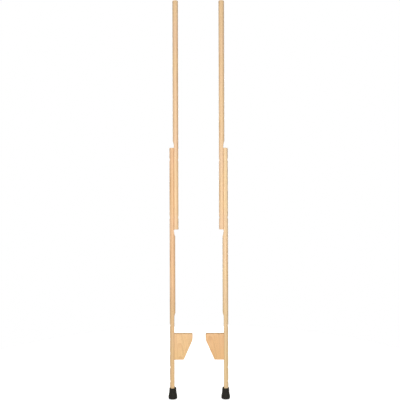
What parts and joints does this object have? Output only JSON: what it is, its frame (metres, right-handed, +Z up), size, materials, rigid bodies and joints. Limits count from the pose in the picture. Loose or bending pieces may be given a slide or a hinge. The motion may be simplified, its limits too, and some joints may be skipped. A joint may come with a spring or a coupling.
{
  "type": "pair of stilts",
  "caption": "Pair of upright wooden stilts: round hand poles bolted beside round legs, wedge footrests that bolt on at several heights, and flared rubber feet.",
  "frame": {"origin": "on the ground, midway between the two stilts", "axes": "+Z up along the poles, +X across the pair towards the stilt that is on the right in the picture, +Y away from the viewer"},
  "size_m": [0.3106, 0.0446, 2.0001],
  "materials": {
    "pole_beech": "satin clear lacquer",
    "footrest_beech": "sanded, satin clear lacquer",
    "black_rubber": "matt moulded",
    "zinc_plated_steel": "zinc plated"
  },
  "bodies": {
    "left_stilt": {"left_leg_pole": "pole_beech", "left_hand_pole": "pole_beech", "left_rubber_foot": "black_rubber", "left_foot_disc": "zinc_plated_steel", "left_lap_bolt_upper": "zinc_plated_steel", "left_lap_bolt_lower": "zinc_plated_steel", "left_lap_nut_upper": "zinc_plated_steel", "left_lap_nut_lower": "zinc_plated_steel"},
    "right_stilt": {"right_leg_pole": "pole_beech", "right_hand_pole": "pole_beech", "right_rubber_foot": "black_rubber", "right_foot_disc": "zinc_plated_steel", "right_lap_bolt_upper": "zinc_plated_steel", "right_lap_bolt_lower": "zinc_plated_steel", "right_lap_nut_upper": "zinc_plated_steel", "right_lap_nut_lower": "zinc_plated_steel"},
    "left_footrest_set": {"left_footrest": "footrest_beech", "left_step_insert_upper": "zinc_plated_steel", "left_step_insert_lower": "zinc_plated_steel"},
    "right_footrest_set": {"right_footrest": "footrest_beech", "right_step_insert_upper": "zinc_plated_steel", "right_step_insert_lower": "zinc_plated_steel"},
    "left_upper_bolt_set": {"left_step_bolt_upper": "zinc_plated_steel", "left_step_washer_upper": "zinc_plated_steel"},
    "left_lower_bolt_set": {"left_step_bolt_lower": "zinc_plated_steel", "left_step_washer_lower": "zinc_plated_steel"},
    "right_upper_bolt_set": {"right_step_bolt_upper": "zinc_plated_steel", "right_step_washer_upper": "zinc_plated_steel"},
    "right_lower_bolt_set": {"right_step_bolt_lower": "zinc_plated_steel", "right_step_washer_lower": "zinc_plated_steel"}
  },
  "joints": [
    {"name": "right_stilt_stride", "type": "slide", "parent": "left_stilt", "child": "right_stilt", "axis": [0, 1, 0], "range_m": [-0.35, 0.35]},
    {"name": "left_footrest_release", "type": "slide", "parent": "left_stilt", "child": "left_footrest_set", "axis": [1, 0, 0], "range_m": [0, 0.03]},
    {"name": "right_footrest_release", "type": "slide", "parent": "right_stilt", "child": "right_footrest_set", "axis": [-1, 0, 0], "range_m": [0, 0.03]},
    {"name": "left_upper_bolt_release", "type": "slide", "parent": "left_stilt", "child": "left_upper_bolt_set", "axis": [-1, 0, 0], "range_m": [0, 0.055]},
    {"name": "left_lower_bolt_release", "type": "slide", "parent": "left_stilt", "child": "left_lower_bolt_set", "axis": [-1, 0, 0], "range_m": [0, 0.055]},
    {"name": "right_upper_bolt_release", "type": "slide", "parent": "right_stilt", "child": "right_upper_bolt_set", "axis": [1, 0, 0], "range_m": [0, 0.055]},
    {"name": "right_lower_bolt_release", "type": "slide", "parent": "right_stilt", "child": "right_lower_bolt_set", "axis": [1, 0, 0], "range_m": [0, 0.055]}
  ]
}
